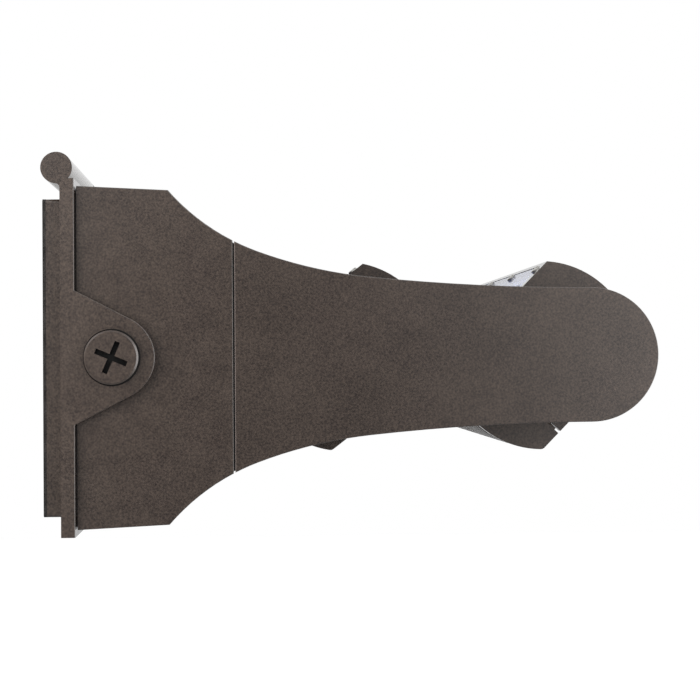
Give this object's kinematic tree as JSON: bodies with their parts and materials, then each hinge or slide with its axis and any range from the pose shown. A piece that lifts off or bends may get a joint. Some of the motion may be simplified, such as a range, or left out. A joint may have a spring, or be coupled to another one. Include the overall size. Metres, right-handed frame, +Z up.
{
  "type": "led wall pack",
  "caption": "Outdoor LED wall pack: wall plate, hinged driver housing and side arms that carry tilting, finned barrel light modules with clear lens plates.",
  "frame": {"origin": "on the wall plane, at the middle of the wall plate's four screw holes", "axes": "+X straight out of the wall, +Z up, +Y to the right when facing the wall"},
  "size_m": [0.2781, 0.2652, 0.1707],
  "materials": {
    "bronze_casting": "dark bronze powder coat, satin",
    "bronze_screw": "dark bronze plating, satin",
    "steel": "zinc plated",
    "stainless": "ground stainless steel",
    "gasket": "matt black silicone",
    "lens": "clear polycarbonate",
    "board": "white solder mask on an aluminium core",
    "led": "yellow phosphor",
    "driver_case": "plain drawn case, potted",
    "terminal": "moulded nylon",
    "bush": "moulded acetal",
    "lead": "insulated lead"
  },
  "bodies": {
    "wall": {"wall_plate": "bronze_casting", "wall_gasket": "gasket", "housing_gasket": "gasket", "hinge_pin": "stainless", "wire_grommet": "gasket", "ground_screw": "steel", "clamp_nuts": "steel"},
    "left_side_screw": {"left_side_screw": "bronze_screw"},
    "right_side_screw": {"right_side_screw": "bronze_screw"},
    "housing": {"driver_housing": "bronze_casting", "led_driver": "driver_case", "driver_screws": "steel", "terminal_block": "terminal", "left_arm": "bronze_casting", "right_arm": "bronze_casting", "left_arm_cover": "bronze_casting", "right_arm_cover": "bronze_casting", "arm_gaskets": "gasket", "arm_bolts": "steel", "arm_cover_screws": "bronze_screw", "pivot_bushes": "bush", "lead_grommet": "gasket", "inner_lead": "lead", "outer_lead": "lead"},
    "inner_module": {"inner_heat_sink": "bronze_casting", "inner_led_board": "board", "inner_leds": "led", "inner_lens_gasket": "gasket", "inner_lens": "lens", "inner_lens_screws": "steel", "inner_trunnions": "bronze_casting", "inner_trunnion_screws": "steel", "inner_lead_tail": "lead"},
    "outer_module": {"outer_heat_sink": "bronze_casting", "outer_led_board": "board", "outer_leds": "led", "outer_lens_gasket": "gasket", "outer_lens": "lens", "outer_lens_screws": "steel", "outer_trunnions": "bronze_casting", "outer_trunnion_screws": "steel", "outer_lead_tail": "lead"}
  },
  "joints": [
    {"name": "housing_swing", "type": "hinge", "parent": "wall", "child": "housing", "pos_m": [0.008, 0, 0.0842], "axis": [0, -1, 0], "range_deg": [0, 95]},
    {"name": "left_screw_turn", "type": "hinge", "parent": "wall", "child": "left_side_screw", "pos_m": [0.032, -0.129, 0], "axis": [0, 1, 0], "continuous": true},
    {"name": "right_screw_turn", "type": "hinge", "parent": "wall", "child": "right_side_screw", "pos_m": [0.032, 0.129, 0], "axis": [0, 1, 0], "continuous": true},
    {"name": "inner_module_tilt", "type": "hinge", "parent": "housing", "child": "inner_module", "pos_m": [0.1366, 0, 0], "axis": [0, -1, 0], "range_deg": [-127.5, 52.5]},
    {"name": "outer_module_tilt", "type": "hinge", "parent": "housing", "child": "outer_module", "pos_m": [0.2292, 0, 0], "axis": [0, -1, 0], "range_deg": [-135.6, 44.4]}
  ]
}
